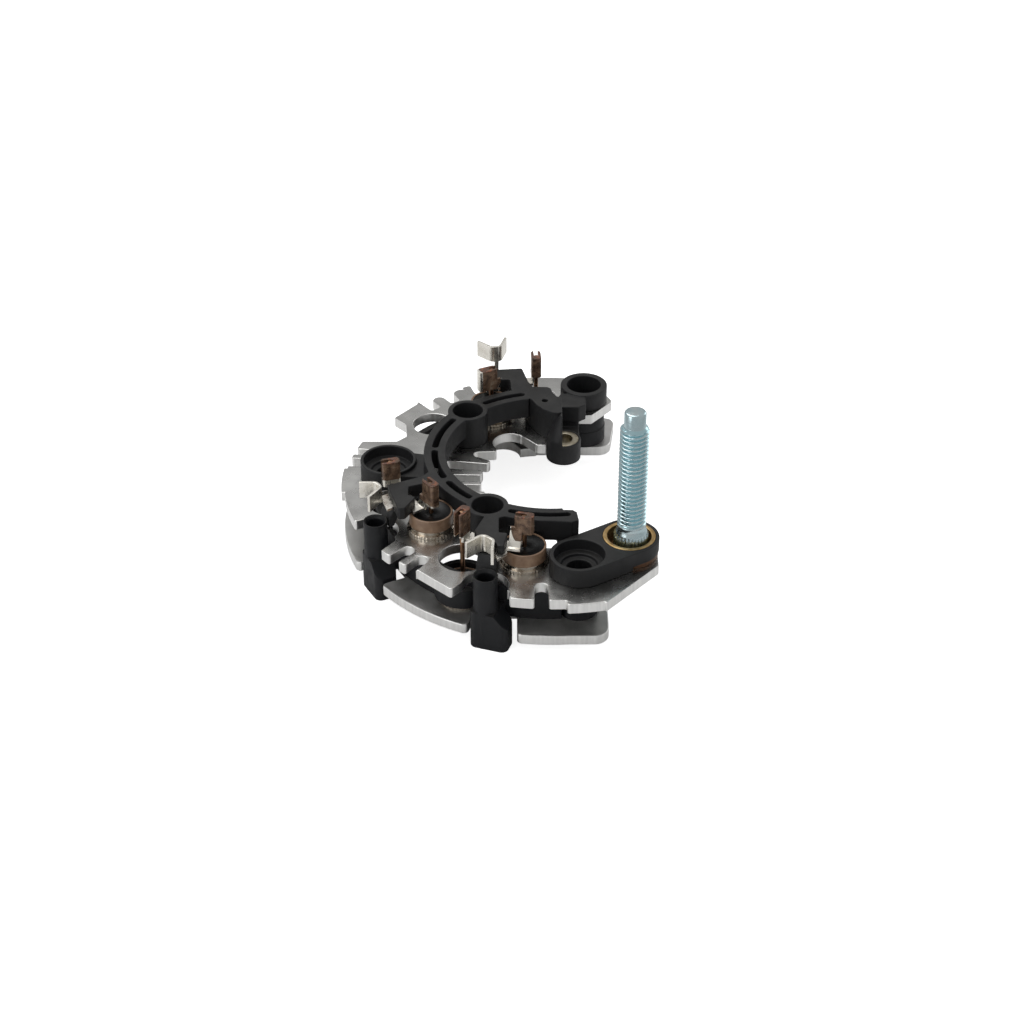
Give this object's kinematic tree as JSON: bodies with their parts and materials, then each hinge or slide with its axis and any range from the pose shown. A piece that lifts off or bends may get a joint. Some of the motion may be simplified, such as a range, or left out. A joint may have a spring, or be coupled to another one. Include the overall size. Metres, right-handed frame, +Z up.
{
  "type": "alternator rectifier",
  "caption": "C-shaped alternator rectifier with two finned heat sinks, press-fit diodes, a moulded terminal carrier and a tall threaded output stud.",
  "frame": {"origin": "on the alternator's axis, at the underside of the lower heat sink", "axes": "+Z up along the stud and the diode leads, +Y along the longest extent, +X out of the open side of the C"},
  "size_m": [0.0887, 0.1197, 0.0638],
  "materials": {
    "upper_heat_sink": "smooth stamped aluminium, reflective",
    "lower_heat_sink": "satin stamped aluminium",
    "black_plastic": "moulded, slightly rough",
    "tinned_copper": "tinned copper strip with bare cut edges",
    "nickel": "nickel plated, warm",
    "sleeve": "brown moulded ring",
    "potting": "black resin",
    "copper": "bare copper wire",
    "zinc": "blue zinc plated steel",
    "brass": "dull yellow brass",
    "washer": "dark brown laminate",
    "bush": "yellowed zinc plate"
  },
  "bodies": {
    "root": {"insulator_frame": "black_plastic", "lower_heat_sink": "lower_heat_sink", "mounting_spacer_front": "black_plastic", "mounting_spacer_left": "black_plastic", "mounting_spacer_right": "black_plastic", "negative_diode_1_base": "nickel", "negative_diode_1_lead": "copper", "negative_diode_1_potting": "potting", "negative_diode_1_sleeve": "sleeve", "negative_diode_2_base": "nickel", "negative_diode_2_lead": "copper", "negative_diode_2_potting": "potting", "negative_diode_2_sleeve": "sleeve", "negative_diode_3_base": "nickel", "negative_diode_3_lead": "copper", "negative_diode_3_potting": "potting", "negative_diode_3_sleeve": "sleeve", "phase_terminal_1": "tinned_copper", "phase_terminal_2": "tinned_copper", "phase_terminal_3": "tinned_copper", "positive_diode_1_base": "nickel", "positive_diode_1_lead": "copper", "positive_diode_1_potting": "potting", "positive_diode_1_sleeve": "sleeve", "positive_diode_2_base": "nickel", "positive_diode_2_lead": "copper", "positive_diode_2_potting": "potting", "positive_diode_2_sleeve": "sleeve", "positive_diode_3_base": "nickel", "positive_diode_3_lead": "copper", "positive_diode_3_potting": "potting", "positive_diode_3_sleeve": "sleeve", "stud_ring": "brass", "stud_washer": "washer", "terminal_carrier": "black_plastic", "terminal_stud": "zinc", "threaded_bush": "bush", "upper_heat_sink": "upper_heat_sink"}
  },
  "joints": []
}
